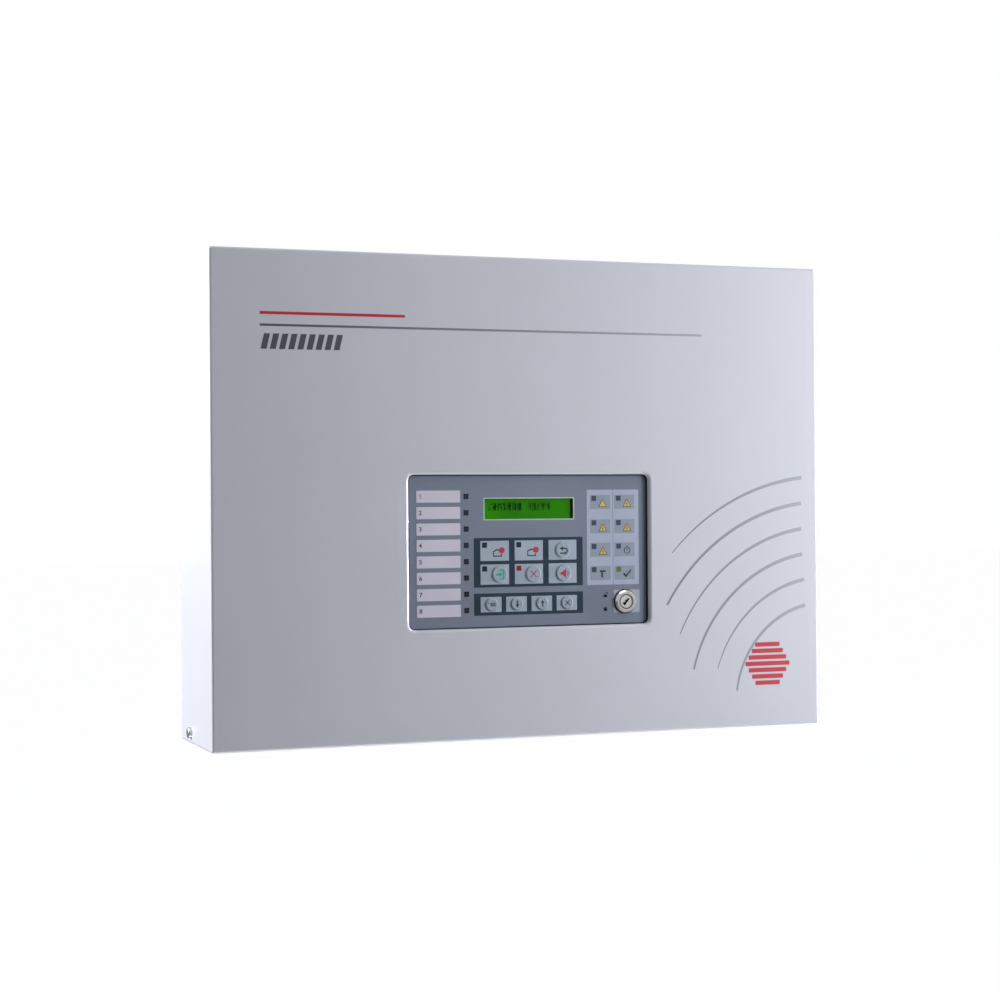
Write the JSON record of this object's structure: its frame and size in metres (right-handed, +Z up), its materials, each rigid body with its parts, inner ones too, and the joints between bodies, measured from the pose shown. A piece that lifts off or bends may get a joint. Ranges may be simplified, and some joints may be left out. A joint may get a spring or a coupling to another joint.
{
  "type": "fire alarm control panel",
  "caption": "Wall-mounted fire alarm control panel: a steel tray with boards, supply and batteries under a top-hung cover with display, keys and keyswitch.",
  "frame": {"origin": "centre of the rear face, on the wall plane", "axes": "+X to the right as the panel is read, +Y into the wall, +Z up"},
  "size_m": [0.4448, 0.09, 0.324],
  "materials": {
    "steel_painted": "satin powder coat",
    "steel_zinc": "zinc plated",
    "rubber": "matte",
    "board_green": "solder mask",
    "plastic_green": "matte",
    "plastic_black": "matte",
    "battery_grey": "matte",
    "can_blue": "sleeve",
    "alloy": "extruded",
    "glass": "clear",
    "display_dark": "lit display",
    "bezel_black": "satin",
    "overlay": "printed polycarbonate",
    "paper": "insert",
    "lamp": "diffused",
    "keys": "embossed",
    "nickel": "bright nickel",
    "wire_red": "pvc",
    "wire_black": "pvc",
    "wire_blue": "pvc",
    "wire_earth": "pvc",
    "ribbon": "pvc"
  },
  "bodies": {
    "chassis": {"back_tray": "steel_zinc", "battery_cases": "battery_grey", "battery_lids": "plastic_black", "battery_shelf": "steel_zinc", "battery_straps": "steel_zinc", "battery_tabs": "steel_zinc", "board_standoffs": "steel_zinc", "cable_grommets": "rubber", "capacitors": "can_blue", "chassis_screws": "steel_zinc", "chips": "plastic_black", "earth_fasteners": "steel_zinc", "fuse_clips": "steel_zinc", "glass_fuses": "glass", "heatsink": "alloy", "hinge_pins": "steel_zinc", "lead_black": "wire_black", "lead_lugs": "wire_red", "lead_red": "wire_red", "main_board": "board_green", "mains_block": "plastic_black", "relays": "plastic_black", "ribbon_plug": "plastic_black", "ribbon_socket": "plastic_black", "supply_case": "steel_zinc", "supply_leads": "wire_blue", "supply_terminals": "plastic_black", "terminal_blocks": "plastic_green", "terminal_screws": "steel_zinc"},
    "cover": {"front_cover": "steel_painted", "hinge_hooks": "steel_zinc", "cover_fasteners": "steel_zinc", "earth_lead": "wire_earth", "front_overlay": "overlay", "overlay_seal": "rubber", "zone_labels": "paper", "lcd_window": "glass", "lcd_bezel": "bezel_black", "lcd_glass": "display_dark", "lcd_board": "board_green", "display_board": "board_green", "display_fixings": "steel_zinc", "indicator_leds": "lamp", "tact_switches": "plastic_black", "buzzer": "plastic_black", "panel_socket": "plastic_black", "ribbon_cable": "ribbon", "lock_body": "nickel", "lock_switch": "plastic_black"},
    "lock": {"lock_plug": "nickel"},
    "lever": {"fuse_lever": "plastic_black", "mains_fuse": "glass"},
    "key_reset_body": {"key_reset": "keys"},
    "key_evacuate_body": {"key_evacuate": "keys"},
    "key_disable_body": {"key_disable": "keys"},
    "key_sounder_body": {"key_sounder": "keys"},
    "key_enter_body": {"key_enter": "keys"},
    "key_down_body": {"key_down": "keys"},
    "key_up_body": {"key_up": "keys"},
    "key_cancel_body": {"key_cancel": "keys"}
  },
  "joints": [
    {"name": "cover_swing", "type": "hinge", "parent": "chassis", "child": "cover", "pos_m": [0, -0.0054, 0.157], "axis": [-1, 0, 0], "range_deg": [0, 90]},
    {"name": "lock_turn", "type": "hinge", "parent": "cover", "child": "lock", "pos_m": [0.0708, -0.0861, -0.0717], "axis": [0, 1, 0], "range_deg": [0, 90]},
    {"name": "fuse_lever_swing", "type": "hinge", "parent": "chassis", "child": "lever", "pos_m": [0.0775, -0.025, -0.149], "axis": [1, 0, 0], "range_deg": [0, 90]},
    {"name": "key_reset_press", "type": "slide", "parent": "cover", "child": "key_reset_body", "axis": [0, 1, 0], "range_m": [0, 0.0005], "stiffness_N_per_m": 200},
    {"name": "key_evacuate_press", "type": "slide", "parent": "cover", "child": "key_evacuate_body", "axis": [0, 1, 0], "range_m": [0, 0.0005], "stiffness_N_per_m": 200},
    {"name": "key_disable_press", "type": "slide", "parent": "cover", "child": "key_disable_body", "axis": [0, 1, 0], "range_m": [0, 0.0005], "stiffness_N_per_m": 200},
    {"name": "key_sounder_press", "type": "slide", "parent": "cover", "child": "key_sounder_body", "axis": [0, 1, 0], "range_m": [0, 0.0005], "stiffness_N_per_m": 200},
    {"name": "key_enter_press", "type": "slide", "parent": "cover", "child": "key_enter_body", "axis": [0, 1, 0], "range_m": [0, 0.0005], "stiffness_N_per_m": 200},
    {"name": "key_down_press", "type": "slide", "parent": "cover", "child": "key_down_body", "axis": [0, 1, 0], "range_m": [0, 0.0005], "stiffness_N_per_m": 200},
    {"name": "key_up_press", "type": "slide", "parent": "cover", "child": "key_up_body", "axis": [0, 1, 0], "range_m": [0, 0.0005], "stiffness_N_per_m": 200},
    {"name": "key_cancel_press", "type": "slide", "parent": "cover", "child": "key_cancel_body", "axis": [0, 1, 0], "range_m": [0, 0.0005], "stiffness_N_per_m": 200}
  ]
}
